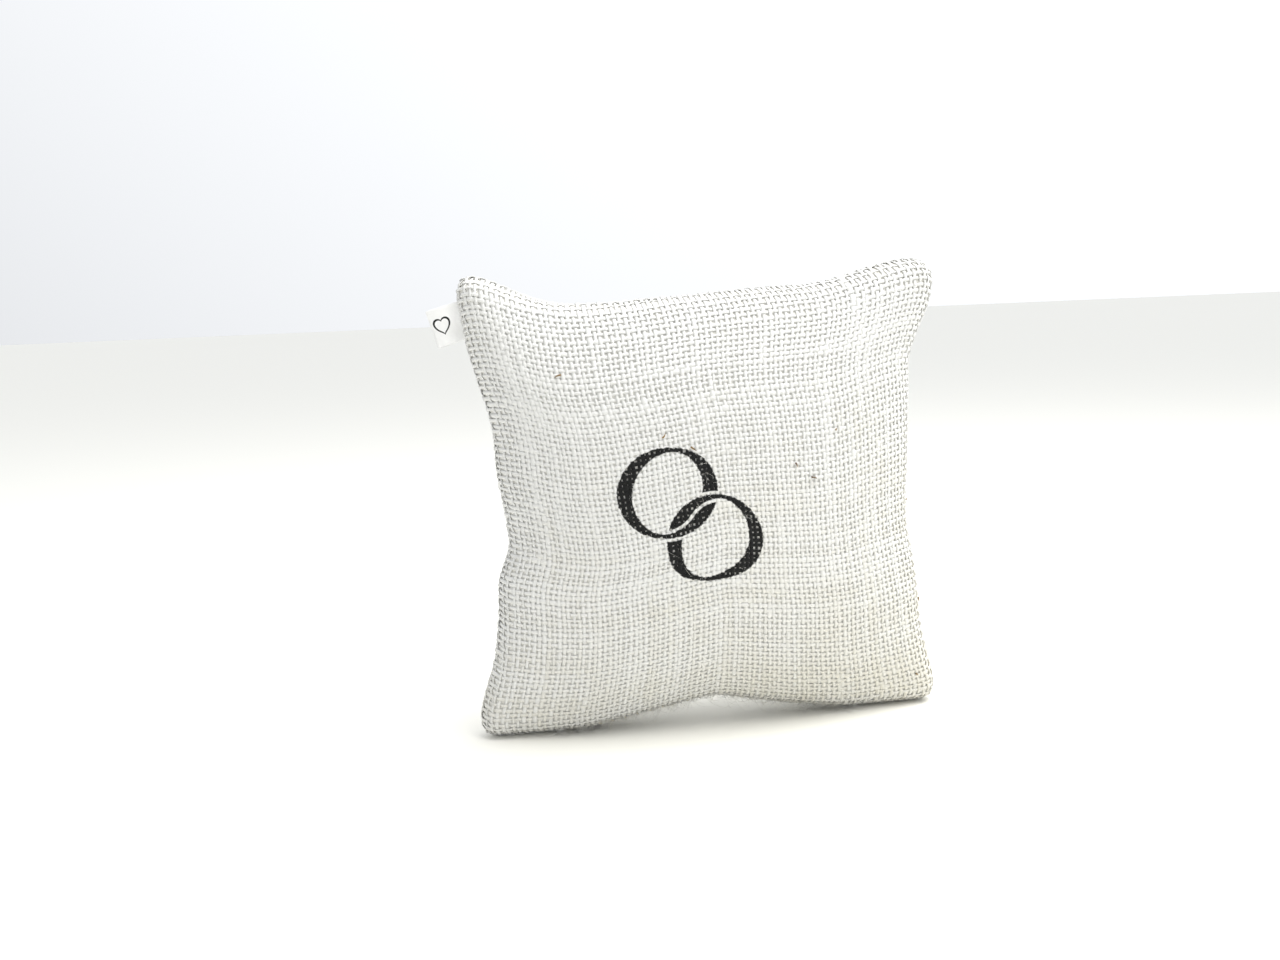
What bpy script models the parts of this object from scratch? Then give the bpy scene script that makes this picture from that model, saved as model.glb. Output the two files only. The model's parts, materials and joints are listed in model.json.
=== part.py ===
"""Ring bearer pillow: two burlap panels sewn together by their turned-in edges, over a stuffed inner case.

It stands on its two lower corners. X runs along its width, Y from its front (-Y) to its back, and +Z is up.
The origin is the middle of its bounding box, on the surface that it stands on. All sizes are in metres.
"""

import math

import bmesh
import bpy
import numpy as np
from mathutils import Matrix, Vector

# Overall sizes of the stuffed pillow.
WIDTH = 0.1995
HEIGHT = 0.192
THICKNESS = 0.066
EAR_THICKNESS = 0.015
# The stuffing's crown: how flat it is in the middle, and how steeply it rises beside the seams.
CROWN_FLATNESS = 2.2
CROWN_STEEPNESS = 0.55
# The corner ears are round: lower left, lower right, upper right and upper left.
EAR_RADII = (0.009, 0.010, 0.010, 0.008)
# How far each lower ear is squashed where it stands, and how soon the squash fades above it.
STANDING_SQUASH = 0.0025
SQUASH_FADE = 4
# The cloth below the first height is pressed flat against the surface, and the press has faded at the second.
STANDING_PRESS = 0.0016
PRESS_REACH = 0.020

# How far the stuffing pulls each side in from the straight line between its corners:
# (share of the way along the side, pull-in), from left to right or from bottom to top.
LEFT_PULL = (
    (0.0, 0.0), (0.06, 0.0006), (0.13, 0.0053), (0.26, 0.0102), (0.37, 0.0117), (0.44, 0.0170),
    (0.53, 0.0136), (0.70, 0.0112), (0.80, 0.0060), (0.90, 0.0018), (0.96, 0.0004), (1.0, 0.0),
)
RIGHT_PULL = (
    (0.0, 0.0), (0.05, 0.0004), (0.11, 0.0038), (0.20, 0.0074), (0.31, 0.0089), (0.44, 0.0134),
    (0.57, 0.0123), (0.72, 0.0115), (0.81, 0.0106), (0.88, 0.0035), (0.93, 0.0004), (1.0, 0.0),
)
BOTTOM_PULL = (
    (0.0, 0.0), (0.05, 0.0004), (0.10, 0.0018), (0.26, 0.0056), (0.43, 0.0116), (0.505, 0.0135),
    (0.60, 0.0096), (0.78, 0.0040), (0.90, 0.0006), (0.95, 0.0), (1.0, 0.0),
)
TOP_PULL = (
    (0.0, 0.0005), (0.03, 0.0012), (0.07, 0.0038), (0.12, 0.0090), (0.18, 0.0131), (0.28, 0.0144),
    (0.44, 0.0126), (0.61, 0.0104), (0.77, 0.0083), (0.86, 0.0034), (0.93, 0.0008), (1.0, 0.0),
)

# The outer panels: burlap, with its edges turned in and a row of machine stitches through them.
BURLAP = 0.0013
COVER_ALLOWANCE = 0.008
COVER_STITCH_INSET = 0.003
COVER_THREAD = 0.0004
# The inner case: plain calico, sewn in the same way.
CALICO = 0.0006
CASE_ALLOWANCE = 0.005
CASE_STITCH_INSET = 0.002
CASE_THREAD = 0.0004

# Clearances between neighbours that touch on the real pillow.
GAP = 0.0003
CASE_CLEARANCE = 0.0005
STITCH_CLEARANCE = 0.0005
CLOSING_CLEARANCE = 0.00045
LABEL_CLEARANCE = 0.00024

# The hand stitches that close the turning gap, along the bottom seam.
CLOSING_STITCHES = 9
CLOSING_FIRST = -0.50
CLOSING_LAST = -0.06
CLOSING_REACH = 0.0026
CLOSING_THREAD = 0.0007
CLOSING_SLANT = 0.0022

# The folded label sewn into the left seam.
LABEL_TAPE = 0.0003
LABEL_WIDTH = 0.015
LABEL_REACH = 0.0115
LABEL_AT = 0.912
LABEL_DROOP = math.radians(16)
LABEL_FLEX = 0.0018
LABEL_ROOT_DEPTH = 0.0065
LABEL_TURN_GAP = 0.00075
LABEL_TAB_START = 0.0001

# How finely the round shapes are cut.
CELLS = 20
THREAD_SIDES = 6
FOLD_STEPS = 5
SHARP_EDGE = math.radians(40)

FRONT = -1
BACK = 1

CREAM = (0.83, 0.80, 0.72, 1.0)
WHITE = (0.88, 0.88, 0.86, 1.0)
FILL_WHITE = (0.92, 0.92, 0.92, 1.0)
THREAD_CREAM = (0.75, 0.72, 0.64, 1.0)


def smooth_curve(stations, at):
    """The value at each share of a cubic that passes through the stations and has their mean slopes."""
    shares, values = (np.array(column) for column in zip(*stations))
    slopes = np.gradient(values, shares)
    i = np.clip(np.searchsorted(shares, at, side="right") - 1, 0, len(shares) - 2)
    span = shares[i + 1] - shares[i]
    t = (at - shares[i]) / span
    return (
        values[i] * (1 + 2 * t) * (1 - t) ** 2
        + values[i + 1] * t * t * (3 - 2 * t)
        + span * slopes[i] * t * (1 - t) ** 2
        - span * slopes[i + 1] * t * t * (1 - t)
    )


def ear_rounding(distance, radius):
    """How far a round corner falls inside the square one, at this distance from its point along the side."""
    short = np.clip(radius - distance, 0.0, radius)
    return radius - np.sqrt(radius**2 - short**2)


def side_line(stations, share, length, radii, inset):
    """(distance along the side, pull-in) at this inset, from the middle of one ear's arc to that of the next.

    An ear's arc is round the same centre at every inset, so that its radius is less by the inset.
    """
    first, last = (max(radius - inset, 0.0) for radius in radii)
    begin = inset + first * (1 - math.sqrt(0.5))
    end = length - inset - last * (1 - math.sqrt(0.5))
    along = begin + share * (end - begin)
    rounding = ear_rounding(along - inset, first) + ear_rounding(length - inset - along, last)
    return along, smooth_curve(stations, along / length) + inset + rounding


def seam_side(name, share, inset=0.0):
    """Points (x, z) of one side's seam, or of a line inside it, from left to right or from bottom to top."""
    lower_left, lower_right, upper_right, upper_left = EAR_RADII
    left, right, bottom, top = -WIDTH / 2, WIDTH / 2, -STANDING_SQUASH, HEIGHT
    wide, high = WIDTH, HEIGHT + STANDING_SQUASH
    if name == "left":
        along, pull = side_line(LEFT_PULL, share, high, (lower_left, upper_left), inset)
        return np.stack([left + pull, bottom + along], axis=-1)
    if name == "right":
        along, pull = side_line(RIGHT_PULL, share, high, (lower_right, upper_right), inset)
        return np.stack([right - pull, bottom + along], axis=-1)
    if name == "bottom":
        along, pull = side_line(BOTTOM_PULL, share, wide, (lower_left, lower_right), inset)
        return np.stack([left + along, bottom + pull], axis=-1)
    along, pull = side_line(TOP_PULL, share, wide, (upper_left, upper_right), inset)
    return np.stack([left + along, top - pull], axis=-1)


def seam_plane(u, v, inset=0.0):
    """The point (x, z) of the seam plane at (u, v), each from -1 to 1: four sides at an inset, blended."""
    a, b = ((1 + u) / 2)[..., None], ((1 + v) / 2)[..., None]
    across = (1 - b) * seam_side("bottom", a[..., 0], inset) + b * seam_side("top", a[..., 0], inset)
    upward = (1 - a) * seam_side("left", b[..., 0], inset) + a * seam_side("right", b[..., 0], inset)
    ends = np.array([0.0, 1.0])
    low, high = seam_side("bottom", ends, inset), seam_side("top", ends, inset)
    corners = (1 - b) * ((1 - a) * low[0] + a * low[1]) + b * ((1 - a) * high[0] + a * high[1])
    return across + upward - corners


def crown(u, v):
    """The stuffing's height, as a share of that at the middle: 1 there, and 0 at the seams."""
    return ((1 - np.abs(u) ** CROWN_FLATNESS) * (1 - np.abs(v) ** CROWN_FLATNESS)) ** CROWN_STEEPNESS


def rolled_edge(u, v, radius):
    """The height of the fold that the cloth makes round its own turned-in edge."""
    heights = []
    for place, half in ((u, WIDTH / 2), (v, HEIGHT / 2)):
        inward = np.clip((1 - np.abs(place)) * half / radius, 0.0, 1.0)
        heights.append(np.sqrt(1 - (1 - inward) ** 2))
    return radius * heights[0] * heights[1]


def standing_lift(u, v):
    """How far the cloth is pushed up where its seam would be below the surface, less and less above it."""
    along, _ = side_line(BOTTOM_PULL, (1 + u) / 2, WIDTH, EAR_RADII[:2], 0.0)
    below = STANDING_SQUASH - smooth_curve(BOTTOM_PULL, along / WIDTH)
    return np.maximum(below, 0.0) * ((1 - v) / 2) ** SQUASH_FADE


def placed(u, v, inset, height):
    """Points (x, y, z) at this inset from the seam edge, with this height from the seam plane."""
    flat = seam_plane(u, v, inset)
    return np.stack([flat[..., 0] + PILLOW_X, height, flat[..., 1] + standing_lift(u, v)], axis=-1)


def pressed(points):
    """Points of the cover's outside, moved down so that the lowest of them lie flat on the surface."""
    height = points[..., 2]
    fade = np.clip(1 - (height - STANDING_PRESS) / (PRESS_REACH - STANDING_PRESS), 0.0, 1.0)
    points[..., 2] = height - np.minimum(height, STANDING_PRESS) * fade
    return points


def grid():
    """(u, v) of the dome's points, closer together towards the seams."""
    steps = np.sin(np.linspace(-math.pi / 2, math.pi / 2, CELLS + 1))
    return np.meshgrid(steps, steps, indexing="ij")


def dome(side, inset, base, top):
    """A panel's curved surface as a grid of points: at height base on its edge, and top in the middle."""
    u, v = grid()
    fold = rolled_edge(u, v, max(EAR_THICKNESS / 2 - inset, BURLAP))
    bulge = (((top - base) * crown(u, v)) ** 3 + fold**3) ** (1 / 3)
    peak = bulge.max()
    made = placed(u, v, inset, side * (base + bulge * (top - base) / peak))
    return made if inset else pressed(made)


def edge_order():
    """The (i, j) of the grid's outermost points, once round."""
    n = CELLS
    return (
        [(i, 0) for i in range(n)]
        + [(n, j) for j in range(n)]
        + [(i, n) for i in range(n, 0, -1)]
        + [(0, j) for j in range(n, 0, -1)]
    )


def ring(inset, height):
    """A loop of points round the pillow, at this inset from the seam edge and height from the seam plane."""
    u, v = grid()
    i, j = np.array(edge_order()).T
    return placed(u[i, j], v[i, j], inset, np.full(len(i), height))


def inner_face(outer, side, inset, cloth, base):
    """The grid that lies a cloth's thickness inside an outer grid, with its edge above the turned-in allowance."""
    outward = -side * np.cross(np.gradient(outer, axis=0), np.gradient(outer, axis=1))
    made = outer - cloth * outward / np.linalg.norm(outward, axis=-1, keepdims=True)
    i, j = np.array(edge_order()).T
    made[i, j] = ring(inset + cloth, side * (base + cloth))
    return made


def cloth_material(name, colour):
    """Plain woven cloth or thread: no shine."""
    material = bpy.data.materials.new(name)
    material.use_nodes = True
    shader = material.node_tree.nodes["Principled BSDF"]
    shader.inputs["Base Color"].default_value = colour
    shader.inputs["Roughness"].default_value = 0.9
    shader.inputs["Metallic"].default_value = 0.0
    return material


def solid(name, points, faces, material):
    """One named object from points and faces, with its faces turned outwards."""
    mesh = bpy.data.meshes.new(name)
    mesh.from_pydata([tuple(p) for p in points], [], [tuple(f) for f in faces])
    work = bmesh.new()
    work.from_mesh(mesh)
    bmesh.ops.recalc_face_normals(work, faces=work.faces[:])
    if work.calc_volume(signed=True) < 0:
        bmesh.ops.reverse_faces(work, faces=work.faces[:])
    work.to_mesh(mesh)
    work.free()
    mesh.materials.append(material)
    mesh.shade_smooth()
    mesh.set_sharp_from_angle(angle=SHARP_EDGE)
    made = bpy.data.objects.new(name, mesh)
    bpy.context.scene.collection.objects.link(made)
    return made


def grid_faces(first):
    """The quads of a dome whose points start at this index."""
    n = CELLS + 1
    return [
        (first + i * n + j, first + (i + 1) * n + j, first + (i + 1) * n + j + 1, first + i * n + j + 1)
        for i in range(CELLS)
        for j in range(CELLS)
    ]


def edge_indices(first):
    """The indices of a dome's outermost points, once round."""
    return [first + i * (CELLS + 1) + j for i, j in edge_order()]


def bridge(loop_a, loop_b):
    """The quads between two loops of as many points."""
    count = len(loop_a)
    return [
        (loop_a[k], loop_a[(k + 1) % count], loop_b[(k + 1) % count], loop_b[k]) for k in range(count)
    ]


def panel(name, side, cloth, inset, top, allowance, stitch_inset, thread, material):
    """A dished cloth panel with its turned-in seam allowance, which has a groove for the seam's thread."""
    mating = GAP / 2
    groove = thread / 2 + STITCH_CLEARANCE
    roof = thread / 2 + GAP
    outer = dome(side, inset, mating, top)
    inner = inner_face(outer, side, inset, cloth, mating).reshape(-1, 3)
    outer = outer.reshape(-1, 3)
    stitches = inset + stitch_inset
    free_edge = inset + allowance
    rings = [
        ring(stitches - groove, side * mating),
        ring(stitches - groove, side * roof),
        ring(stitches + groove, side * roof),
        ring(stitches + groove, side * mating),
        ring(free_edge, side * mating),
        ring(free_edge, side * (mating + cloth)),
    ]
    points = np.concatenate([outer, *rings, inner])
    faces = grid_faces(0)
    loop = edge_indices(0)
    for k in range(len(rings)):
        first = len(outer) + k * 4 * CELLS
        following = list(range(first, first + 4 * CELLS))
        faces += bridge(loop, following)
        loop = following
    first = len(points) - len(inner)
    faces += bridge(loop, edge_indices(first)) + grid_faces(first)
    return solid(name, points, faces, material)


def seam_thread(name, inset, diameter, material):
    """The thread of a machine-sewn seam, a closed loop that lies between the two turned-in edges."""
    turns = [2 * math.pi * k / THREAD_SIDES for k in range(THREAD_SIDES)]
    loops = [
        ring(inset + diameter / 2 * math.cos(turn), diameter / 2 * math.sin(turn)) for turn in turns
    ]
    count = 4 * CELLS
    indices = [list(range(k * count, (k + 1) * count)) for k in range(THREAD_SIDES)]
    faces = []
    for k in range(THREAD_SIDES):
        faces += bridge(indices[k], indices[(k + 1) % THREAD_SIDES])
    return solid(name, np.concatenate(loops), faces, material)


def fibre_fill(material):
    """The stuffing, which fills the inner case inside its seam allowance."""
    inset = CASE_INSET + CASE_ALLOWANCE + CASE_CLEARANCE
    top = THICKNESS / 2 - BURLAP - CASE_CLEARANCE - CALICO - GAP
    front = dome(FRONT, inset, 0.0, top).reshape(-1, 3)
    back = dome(BACK, inset, 0.0, top).reshape(-1, 3)
    order = edge_order()
    on_edge = {i * (CELLS + 1) + j for i, j in order}
    shared = {k: k for k in on_edge}
    inside = [k for k in range(len(back)) if k not in on_edge]
    for place, k in enumerate(inside):
        shared[k] = len(front) + place
    back_faces = [tuple(shared[k] for k in face) for face in grid_faces(0)]
    return solid("fibre_fill", np.concatenate([front, back[inside]]), grid_faces(0) + back_faces, material)


def on_cover(side, u, v):
    """A point of the cover's outer surface, between the points of its grid."""
    points = dome(side, 0.0, GAP / 2, THICKNESS / 2)
    steps = np.sin(np.linspace(-math.pi / 2, math.pi / 2, CELLS + 1))
    i, j = (min(int(np.searchsorted(steps, x, side="right")) - 1, CELLS - 1) for x in (u, v))
    a, b = (u - steps[i]) / (steps[i + 1] - steps[i]), (v - steps[j]) / (steps[j + 1] - steps[j])
    low = (1 - a) * points[i, j] + a * points[i + 1, j]
    high = (1 - a) * points[i, j + 1] + a * points[i + 1, j + 1]
    return (1 - b) * low + b * high


def tube(name, path, diameter, material):
    """A thread along a path, with filled ends."""
    curve = bpy.data.curves.new(name, "CURVE")
    curve.dimensions = "3D"
    curve.bevel_depth = diameter / 2
    curve.bevel_resolution = 1
    curve.use_fill_caps = True
    spline = curve.splines.new("POLY")
    spline.points.add(len(path) - 1)
    for point, place in zip(spline.points, path):
        point.co = (*place, 1.0)
    curve.materials.append(material)
    made = bpy.data.objects.new(name, curve)
    bpy.context.scene.collection.objects.link(made)
    return made


def closing_stitch(number, u, material):
    """A hand stitch that hugs the bottom seam, from the front panel round to the back one."""
    reach = CLOSING_REACH / (HEIGHT / 2)
    steps = 4
    path = []
    for k in range(-steps, steps + 1):
        side = FRONT if k < 0 else BACK
        on_seam = on_cover(side, u + CLOSING_SLANT / WIDTH * k / steps, -1 + reach * (abs(k) / steps) ** 2)
        path.append(on_seam if k else on_seam * [1, 0, 1])
    path = np.array(path)
    along = np.gradient(path, axis=0)
    out = np.stack([np.zeros(len(path)), along[:, 2], -along[:, 1]], axis=1)
    out /= np.linalg.norm(out, axis=1)[:, None]
    lift = CLOSING_THREAD / 2 + CLOSING_CLEARANCE
    return tube(f"closing_stitch_{number}", path + out * lift, CLOSING_THREAD, material)


def label_place():
    """A matrix to the label's axes at its flex line: x out of the seam, y up the line, z towards the back."""
    share = np.array([LABEL_AT])
    x, z = seam_side("left", share)[0]
    out = Vector((-math.cos(LABEL_DROOP), 0.0, -math.sin(LABEL_DROOP)))
    up = Vector((-math.sin(LABEL_DROOP), 0.0, math.cos(LABEL_DROOP)))
    place = Matrix((out, up, out.cross(up))).transposed().to_4x4()
    place.translation = Vector((x + PILLOW_X, 0.0, z)) + out * LABEL_FLEX
    return place


def label_tip_x():
    """How far left the label reaches from the middle of the pillow."""
    x = seam_side("left", np.array([LABEL_AT]))[0, 0]
    return x - LABEL_REACH * math.cos(LABEL_DROOP) - LABEL_WIDTH / 2 * math.sin(LABEL_DROOP)


def label_leaf_faces():
    """(inner, outer) distance of the label's leaves from the seam plane: the thread runs between them."""
    inner = COVER_THREAD / 2 + LABEL_CLEARANCE
    return inner, inner + LABEL_TAPE


def extruded(name, outline, width, place, material):
    """A flat outline of (x, z) points made into a plate of this width along its y, and put in its place."""
    count = len(outline)
    points = [place @ Vector((x, y, z)) for y in (-width / 2, width / 2) for x, z in outline]
    faces = [(k, (k + 1) % count, count + (k + 1) % count, count + k) for k in range(count)]
    faces += [tuple(range(count)), tuple(range(count, 2 * count))]
    return solid(name, points, faces, material)


def label_tab(material):
    """The part of the label outside its flex line: two leaves and the fold that joins them."""
    inner, outer = label_leaf_faces()
    fold = LABEL_REACH - LABEL_FLEX - outer
    turns = [math.pi * (0.5 - k / FOLD_STEPS) for k in range(FOLD_STEPS + 1)]
    outline = [(LABEL_TAB_START, outer)]
    outline += [(fold + outer * math.cos(t), outer * math.sin(t)) for t in turns]
    outline += [(LABEL_TAB_START, -outer), (LABEL_TAB_START, -inner)]
    outline += [(fold + inner * math.cos(t), inner * math.sin(t)) for t in reversed(turns)]
    outline += [(LABEL_TAB_START, inner)]
    return extruded("label_tab", outline, LABEL_WIDTH, label_place(), material)


def label_roots(material):
    """The label's two ends, which the seam holds, out to just before the flex line."""
    inner, outer = label_leaf_faces()
    start, end = -LABEL_FLEX - LABEL_ROOT_DEPTH, -LABEL_TURN_GAP
    for name, side in (("label_root_front", FRONT), ("label_root_back", BACK)):
        outline = [(start, side * inner), (end, side * inner), (end, side * outer), (start, side * outer)]
        extruded(name, outline, LABEL_WIDTH, label_place(), material)


def label_slot():
    """The cutter that makes room for the label between the two panels' turned-in edges."""
    reach = label_leaf_faces()[1] + GAP
    start = -LABEL_FLEX - LABEL_ROOT_DEPTH - GAP
    outline = [(start, -reach), (LABEL_FLEX, -reach), (LABEL_FLEX, reach), (start, reach)]
    calico = bpy.data.materials["calico"]
    cutter = extruded("label_slot", outline, LABEL_WIDTH + 2 * GAP, label_place(), calico)
    cutter.hide_render = True
    cutter.display_type = "WIRE"
    return cutter


def cut(piece, cutter):
    """Takes the cutter's shape out of the piece."""
    modifier = piece.modifiers.new(cutter.name, "BOOLEAN")
    modifier.operation = "DIFFERENCE"
    modifier.solver = "EXACT"
    modifier.object = cutter


def build_cover(burlap, thread):
    """The two outer panels with the label's slot, their seam and the stitches of the turning gap."""
    slot = label_slot()
    for name, side in (("front_panel", FRONT), ("back_panel", BACK)):
        made = panel(
            name, side, BURLAP, 0.0, THICKNESS / 2, COVER_ALLOWANCE, COVER_STITCH_INSET, COVER_THREAD, burlap
        )
        cut(made, slot)
    seam_thread("cover_seam_thread", COVER_STITCH_INSET, COVER_THREAD, thread)
    for number, u in enumerate(np.linspace(CLOSING_FIRST, CLOSING_LAST, CLOSING_STITCHES), 1):
        closing_stitch(number, u, thread)


def build_case(calico, thread):
    """The inner case that keeps the stuffing in behind the open weave."""
    top = THICKNESS / 2 - BURLAP - CASE_CLEARANCE
    for name, side in (("case_front", FRONT), ("case_back", BACK)):
        panel(name, side, CALICO, CASE_INSET, top, CASE_ALLOWANCE, CASE_STITCH_INSET, CASE_THREAD, calico)
    seam_thread("case_seam_thread", CASE_INSET + CASE_STITCH_INSET, CASE_THREAD, thread)


CASE_INSET = COVER_ALLOWANCE + CASE_CLEARANCE
# The label sticks out on one side only, so the pillow stands this far right of its bounding box's middle.
PILLOW_X = -(label_tip_x() + WIDTH / 2) / 2


def main():
    for old in list(bpy.data.objects):
        bpy.data.objects.remove(old)
    burlap = cloth_material("burlap", CREAM)
    calico = cloth_material("calico", WHITE)
    tape = cloth_material("cotton_tape", WHITE)
    thread = cloth_material("cotton_thread", THREAD_CREAM)
    build_cover(burlap, thread)
    build_case(calico, thread)
    fibre_fill(cloth_material("polyester_fibre", FILL_WHITE))
    label_tab(tape)
    label_roots(tape)


main()
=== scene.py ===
"""Ring bearer pillow: a stuffed square of woven burlap with a printed motif, a folded label and a
hand-closed seam.

Every yarn of the cover is a tube that goes over and under its neighbours. The buttons are in the 3D view's
sidebar, under Ring Pillow. X runs along the pillow's width, Y from its front to its back, and Z up. Sizes
are in metres.
"""

import json
import math

import bpy
import numpy as np
from mathutils import Matrix, Vector


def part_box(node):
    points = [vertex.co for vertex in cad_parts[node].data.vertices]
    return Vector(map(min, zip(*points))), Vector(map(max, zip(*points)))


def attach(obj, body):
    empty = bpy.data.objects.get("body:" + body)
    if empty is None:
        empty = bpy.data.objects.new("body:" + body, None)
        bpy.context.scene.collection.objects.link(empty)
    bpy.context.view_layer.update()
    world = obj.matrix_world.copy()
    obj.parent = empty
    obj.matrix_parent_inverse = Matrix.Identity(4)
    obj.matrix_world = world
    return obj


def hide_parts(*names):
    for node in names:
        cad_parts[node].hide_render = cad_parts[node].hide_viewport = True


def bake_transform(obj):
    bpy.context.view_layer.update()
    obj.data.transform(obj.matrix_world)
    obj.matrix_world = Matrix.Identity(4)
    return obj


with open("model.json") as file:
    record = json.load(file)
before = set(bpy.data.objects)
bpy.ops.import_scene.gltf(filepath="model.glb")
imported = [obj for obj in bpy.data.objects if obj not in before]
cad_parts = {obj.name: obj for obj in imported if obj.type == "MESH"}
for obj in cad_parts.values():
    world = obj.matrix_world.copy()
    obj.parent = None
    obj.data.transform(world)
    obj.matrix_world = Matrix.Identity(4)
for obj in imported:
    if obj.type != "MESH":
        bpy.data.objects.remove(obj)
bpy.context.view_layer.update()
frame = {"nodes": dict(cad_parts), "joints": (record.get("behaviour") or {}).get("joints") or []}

bl_info = {
    "name": "Ring Pillow",
    "version": (1, 0, 0),
    "blender": (4, 5, 0),
    "location": "3D View > Sidebar > Ring Pillow",
    "description": "Weaves, stuffs, prints and labels a burlap ring bearer pillow",
    "category": "Add Mesh",
}

SIDES = {"front": -1, "back": 1}
# The cover's control grid has this many cells along each side.
CELLS = 56
SEAM_ANGLES = 720


# ---------------------------------------------------------------- sizes and colours that a user would change


def length(name, description, default, **more):
    """A length property in metres."""
    return bpy.props.FloatProperty(
        name=name, description=description, default=default, unit="LENGTH", precision=5, **more
    )


def angle(name, description, degrees):
    """An angle property, in degrees here."""
    return bpy.props.FloatProperty(
        name=name, description=description, default=math.radians(degrees), subtype="ANGLE"
    )


def colour(name, description, default):
    """A colour property, as an sRGB hex string."""
    return bpy.props.StringProperty(name=name, description=description, default=default)


class PillowCloth(bpy.types.PropertyGroup):
    """The burlap and the two bags."""

    panel: length("Panel", "Side of one flat panel between its seams", 0.199)
    warp_pitch: length("Warp pitch", "From one upright yarn to the next", 0.0022)
    weft_pitch: length("Weft pitch", "From one level yarn to the next", 0.0024)
    yarn_width: length("Yarn width", "Width of a yarn, pressed flat by the weave", 0.00157)
    yarn_thickness: length("Yarn thickness", "Thickness of a yarn, through the cloth", 0.00039)
    turned_in: length("Turned in", "Seam allowance that shows its yarns inside the seam", 0.0055)
    grain: angle("Grain", "How far the yarns lie off the panel's edges", 2.4)
    jute: colour("Jute", "Bleached jute", "#E9E9E7")
    # The deep jute colour is that of less bleached streaks, and also painted shade that deepens the cloth
    # towards the panel's lower right.
    jute_deep_and_shade: colour("Jute, deep", "Less bleached streaks of the jute", "#E1DED3")
    # The calico's colour is painted light: lifted near white for the light that the jute lets into the gaps.
    calico: colour("Calico", "The inner case", "#FDFCF9")
    calico_deep: colour("Calico, deep", "Darker patches of the inner case", "#F6F4ED")
    fleck: colour("Fleck", "Bits of bark left in the jute", "#5C452B")
    fleck_pale: colour("Fleck, pale", "Paler ends of the bits of bark", "#9C7F4E")


class PillowPrint(bpy.types.PropertyGroup):
    """The motif that is printed on the front: two linked rings."""

    ring: length("Ring", "Radius of each ring, to the middle of its stroke", 0.0190)
    apart: length("Apart", "Half the distance between the rings' centres", 0.0155)
    thin: length("Thin stroke", "Half the width of the stroke where it is thinnest", 0.0009)
    thick: length("Thick stroke", "Half the width of the stroke where it is thickest", 0.0034)
    slant: angle("Slant", "How far the line through both centres leans to the left", 39)
    centre_x: length("Centre across", "Middle of the motif, right of the panel's middle", -0.015)
    centre_z: length("Centre up", "Middle of the motif, above the panel's middle", 0.000)
    ink: colour("Ink", "Fabric ink", "#161717")


class PillowTrim(bpy.types.PropertyGroup):
    """The label, the stitches and the loose fibres."""

    tape: colour("Tape", "The label's cotton tape", "#FBFBFB")
    tape_deep: colour("Tape, deep", "Soiled patches of the tape", "#EFEFEE")
    heart: length("Heart", "Half the width of the heart on the label", 0.0031)
    thread: colour("Thread", "Sewing thread", "#DDD6C4")
    # The deep thread colour is painted shade between the plies.
    thread_ply_shade: colour("Thread, deep", "Between the plies of the thread", "#B9B09A")
    stitch_reach: length("Stitch reach", "How far a closing stitch reaches from the seam", 0.0030)
    thread_width: length("Thread width", "Diameter of the closing thread", 0.0006)
    fibres: bpy.props.IntProperty(name="Fibres", description="Loose ends of jute on each panel", default=1500)
    bottom_fibres: bpy.props.IntProperty(
        name="Bottom fibres", description="Loose ends of jute along the hand-closed seam", default=700
    )
    flecks: bpy.props.IntProperty(name="Flecks", description="Bits of bark on each panel", default=9)


class PillowStudio(bpy.types.PropertyGroup):
    """The camera and the light."""

    azimuth: angle("Azimuth", "Camera's turn round the pillow", -7.9)
    elevation: angle("Elevation", "Camera's angle above level", 8.2)
    roll: angle("Roll", "Camera's tilt about its own line of sight", -2.3)
    distance: length("Distance", "Camera to the point that it looks at", 0.5165)
    look_x: length("Look at, across", "That point, from the seam's middle", -0.0279)
    look_z: length("Look at, up", "That point, above the surface", 0.1045)
    floor: colour("Floor", "Matt white board", "#F5F4EE")
    room: colour("Room", "Cool daylight off the walls", "#F7F9FC")
    softbox: bpy.props.FloatVectorProperty(
        name="Softbox", description="Where the square softbox hangs", unit="LENGTH",
        default=(0.35, -0.12, 1.0),
    )
    softbox_side: length("Softbox side", "Side of the softbox", 0.8)
    softbox_power: bpy.props.FloatProperty(
        name="Softbox power", description="Light that the softbox gives", default=10.3, unit="POWER"
    )
    lean: bpy.props.FloatVectorProperty(
        name="Lean", description="How much brighter the room is along each axis", default=(0.34, 0.29, 0.44)
    )


def cloth():
    """The cloth's settings."""
    return bpy.context.scene.pillow_cloth


def motif():
    """The print's settings."""
    return bpy.context.scene.pillow_print


def trim():
    """The trim's settings."""
    return bpy.context.scene.pillow_trim


# ---------------------------------------------------------------- small helpers


def linear(hex_colour):
    """An sRGB hex colour as linear RGBA."""
    parts = [int(hex_colour[k : k + 2], 16) / 255 for k in (1, 3, 5)]
    return (*(c / 12.92 if c <= 0.04045 else ((c + 0.055) / 1.055) ** 2.4 for c in parts), 1.0)


def unit(vectors):
    """Vectors scaled to length 1."""
    return vectors / np.maximum(np.linalg.norm(vectors, axis=-1, keepdims=True), 1e-12)


def smooth_step(x):
    """0 below 0, 1 above 1, and an S between them: 3x² - 2x³."""
    x = np.clip(x, 0.0, 1.0)
    return x * x * (3 - 2 * x)


def rounded_edge(u, v, share):
    """1 inside a square, falling to 0 at its edges, u or v = 1 or -1, as a quarter circle does: the product
    of sqrt(1 - (1 - t)^2), where t is the distance from an edge over share."""
    near_u, near_v = (np.clip((1 - np.abs(x)) / share, 0, 1) for x in (u, v))
    return np.sqrt(1 - (1 - near_u) ** 2) * np.sqrt(1 - (1 - near_v) ** 2)


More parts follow.
